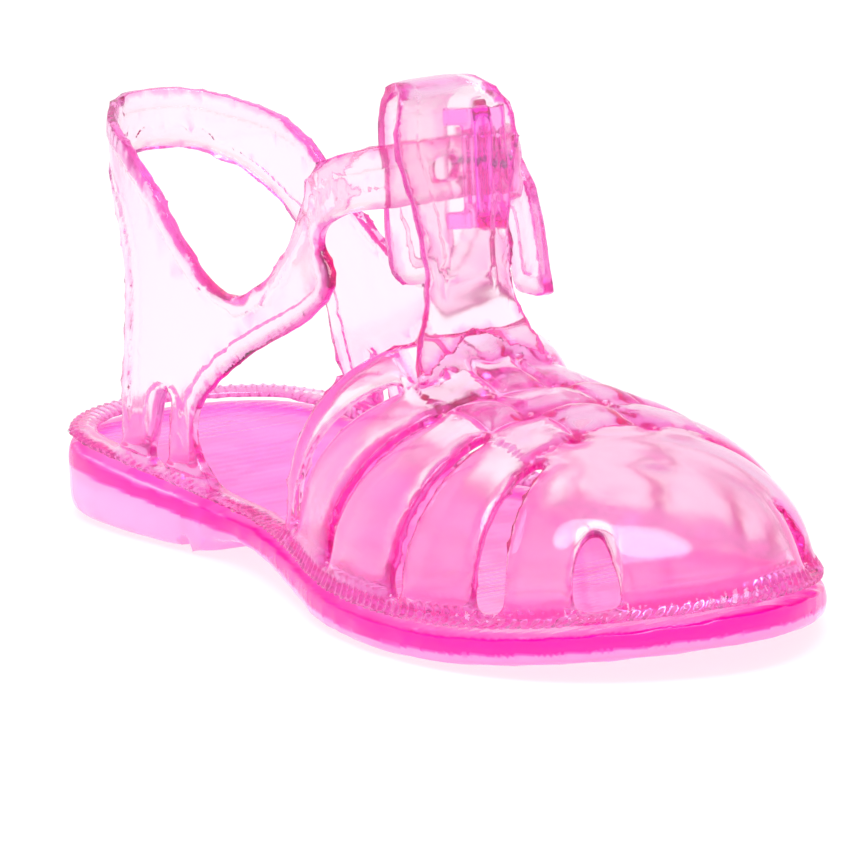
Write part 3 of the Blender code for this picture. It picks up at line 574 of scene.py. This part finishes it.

# %% [markdown]
# ## Upper
# Straps, quarters, back band and bar keep a raised border, because the mould sinks their middles a
# little. The way over the skin from the nearest sharp edge tells how far a point is from its border.
# The same measure gives bare edges their hot tint, which is painted glow of light caught in them,
# and creases get that tint as painted shade by how sharply they bend.

# %% Upper
BORDER, BORDER_STEP, SINK = 2.5, 0.5, 0.32
BORDER_ABOVE, BORDER_FACING = (5.0, 8.0), (0.2, 0.5)
HEEL_END, STRAP_LOW = (1.0, 3.0), (38.0, 42.0)
ANKLE_X = -30.0
# The first three values below are painted light as hot tint: glow on the cord and bare edges, shade in
# creases
CORD_GLOW, EDGE_GLOW, CREASE_SHADE = 0.75, 0.45, 0.6
EDGE_REACH = (0.3, 0.9)
CREASE, CREASE_ROUNDS = (0.08, 0.25), 3


def borders(skin):
    """Sinks the heel part's and the strap's outer face inside its border."""
    x, y, z = skin.spots.T
    away = np.stack([x - ANKLE_X, y, 0 * x], 1)
    outwards = (skin.normals * away).sum(1) / np.linalg.norm(away, axis=1)
    above = ramp(edge_place(skin)[2], *BORDER_ABOVE)
    on_heel = np.maximum(1 - ramp(x, *HEEL_END), ramp(z, *STRAP_LOW))
    inside = ramp(skin.edge_distance(BORDER + 1), BORDER, BORDER + BORDER_STEP)
    return -SINK * inside * above * on_heel * ramp(outwards, *BORDER_FACING)


def upper_relief(skin):
    return cord(skin) + borders(skin) + weave(skin)[0]


def upper_painted_light(skin):
    """Painted glow on the cord and bare edges, painted shade in grooves and creases, deepest on cord and
    grooves.
    """
    edges = 1 - ramp(skin.edge_distance(EDGE_REACH[1]), *EDGE_REACH)
    creases = ramp(skin.hollows(CREASE_ROUNDS), *CREASE)
    return np.max((CORD_GLOW * cord_place(skin)[2], EDGE_GLOW * edges, CREASE_SHADE * creases,
                   GROOVE_SHADE * weave(skin)[1]), axis=0)


upper = moulding("upper_moulding", "upper", voxel=0.36, rounds=60, relief=upper_relief, most_faces=195000,
                 finish=upper_vinyl)
mark(upper, upper_painted_light)

# %% [markdown]
# ## Buckle
# The moulded frame carries upright ribs on its grip plate, where a thumb pushes it. They could be an
# array of thin bars, but as relief on the plate's front they stay part of the moulding.

# %% Buckle
GRIP_HEADING = math.radians(58.4)
GRIP_PITCH, GRIP_DEPTH = 1.15, 0.22
GRIP_LOW, GRIP_TOP, GRIP_FADE = 49.6, 58.8, 0.4
GRIP_FACING = (0.7, 0.95)
GRIP_ACROSS = np.array([math.cos(GRIP_HEADING), math.sin(GRIP_HEADING), 0])
GRIP_FRONT = np.array([GRIP_ACROSS[1], -GRIP_ACROSS[0], 0])


def grip_ribs(skin):
    z = skin.spots[:, 2]
    on_plate = ramp(z, GRIP_LOW, GRIP_LOW + GRIP_FADE) * (1 - ramp(z, GRIP_TOP - GRIP_FADE, GRIP_TOP))
    wave = ribs(skin.spots @ GRIP_ACROSS, GRIP_PITCH)
    return -GRIP_DEPTH * wave * on_plate * ramp(skin.normals @ GRIP_FRONT, *GRIP_FACING)


buckle = moulding("buckle_moulding", "buckle_frame", voxel=0.16, rounds=10, relief=grip_ribs,
                  most_faces=120000, finish=buckle_vinyl)

# %% [markdown]
# ## Steel tongue
# The buckle's tongue is a drawn steel wire. A bevelled curve could draw it again, but the solid has its
# bends already, so it is only made smooth. A noise that a Mapping node squeezes in height gives the
# fine lines that drawing leaves along the wire.

# %% Steel tongue
WIRE_LINES = (200.0, 200.0, 4000.0)
STEEL_STOPS = [(0.3, (0.34, 0.34, 0.36)), (0.7, (0.62, 0.62, 0.64))]
STEEL_POLISH, STEEL_DULLING = 0.2, 0.2
steel, shader, spot = new_finish("drawn_steel")
feed(shader, "Metallic", 1.0)
squeezed = spot.node("ShaderNodeMapping", None, {"Vector": spot, "Scale": WIRE_LINES})
grain = spot.node("ShaderNodeTexNoise", None, {"Vector": squeezed, "Scale": 1.0, "Detail": 2.0})
feed(shader, "Base Color", grain.node("ShaderNodeValToRGB", {"stops": STEEL_STOPS}, {"Fac": grain}))
feed(shader, "Roughness", STEEL_POLISH + STEEL_DULLING * grain)
prong = moulding("prong_wire", "buckle_prong", voxel=0.1, rounds=5, relief=None, most_faces=60000,
                 finish=steel)

# %% [markdown]
# ## Floor
# A pale floor runs under the shoe and far behind it. A plain white disc would do, but the shoe's shadow
# would be dark on it and the clear vinyl dull. This one also gives off light, as a light table does, so
# the shoe is lit from below too.

# %% Floor
FLOOR_RADIUS, FLOOR_SIDES, FLOOR_DROP = 6.0, 96, 0.0002
FLOOR_STOPS = [(0.3, (0.27, 0.265, 0.265)), (0.7, (0.31, 0.305, 0.305))]
FLOOR_ROUGHNESS, FLOOR_GLOW = 0.6, 0.68
ground = bmesh.new()
bmesh.ops.create_circle(ground, cap_ends=True, segments=FLOOR_SIDES, radius=FLOOR_RADIUS)
pale, shader, spot = new_finish("pale_floor")
mottle = spot.node("ShaderNodeTexNoise", None, {"Vector": spot, "Scale": 3.0, "Detail": 4.0})
feed(shader, "Base Color", mottle.node("ShaderNodeValToRGB", {"stops": FLOOR_STOPS}, {"Fac": mottle}))
feed(shader, "Roughness", FLOOR_ROUGHNESS)
feed(shader, "Emission Color", (1, 1, 1, 1))
feed(shader, "Emission Strength", FLOOR_GLOW)
floor = new_piece("floor", ground, pale)
floor.data.transform(Matrix.Translation((0, 0, -FLOOR_DROP)))
floor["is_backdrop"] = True
print("floor", 2 * FLOOR_RADIUS, "m across")

# %% [markdown]
# ## Light
# Soft white light comes from all round, with one broad lamp above the toe for the long highlights on
# the vamp. Light goes through many walls of clear vinyl, so it may bounce more often than usual:
# where its path is cut short, edges turn black.

# %% Light
LAMP_SPOT, LAMP_AIM = Vector((0.25, -0.15, 0.9)), Vector((0.02, 0, 0.02))
LAMP_SIZE, LAMP_POWER = (0.7, 0.5), 6.0
BOUNCES = 16
world = bpy.data.worlds.new("studio")
world.use_nodes = True
background = world.node_tree.nodes["Background"]
feed(background, "Color", (1, 1, 1, 1))
feed(background, "Strength", 1.0)

light = bpy.data.lights.new("broad_lamp", "AREA")
light.shape = "ELLIPSE"
light.size, light.size_y = LAMP_SIZE
light.energy = LAMP_POWER
lamp = bpy.data.objects.new("broad_lamp", light)
beam = (LAMP_SPOT - LAMP_AIM).normalized().to_track_quat("Z", "Y").to_matrix().to_4x4()
lamp.matrix_world = Matrix.Translation(LAMP_SPOT) @ beam

scene = bpy.context.scene
scene.collection.objects.link(lamp)
scene.world = world
scene.view_settings.view_transform = "Standard"
scene.cycles.max_bounces = BOUNCES
scene.cycles.transmission_bounces = BOUNCES
scene.cycles.glossy_bounces = BOUNCES
print("world and lamp ready")

# %% [markdown]
# ## Size and finish
# The boxes of the solids and of the dressed shoe are written side by side, so that they can be
# compared.

# %% Size and finish
dressed_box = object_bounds()
for name, box in (("solids", solid_box), ("dressed", dressed_box)):
    print(name, [tuple(round(v, 4) for v in corner) for corner in box])
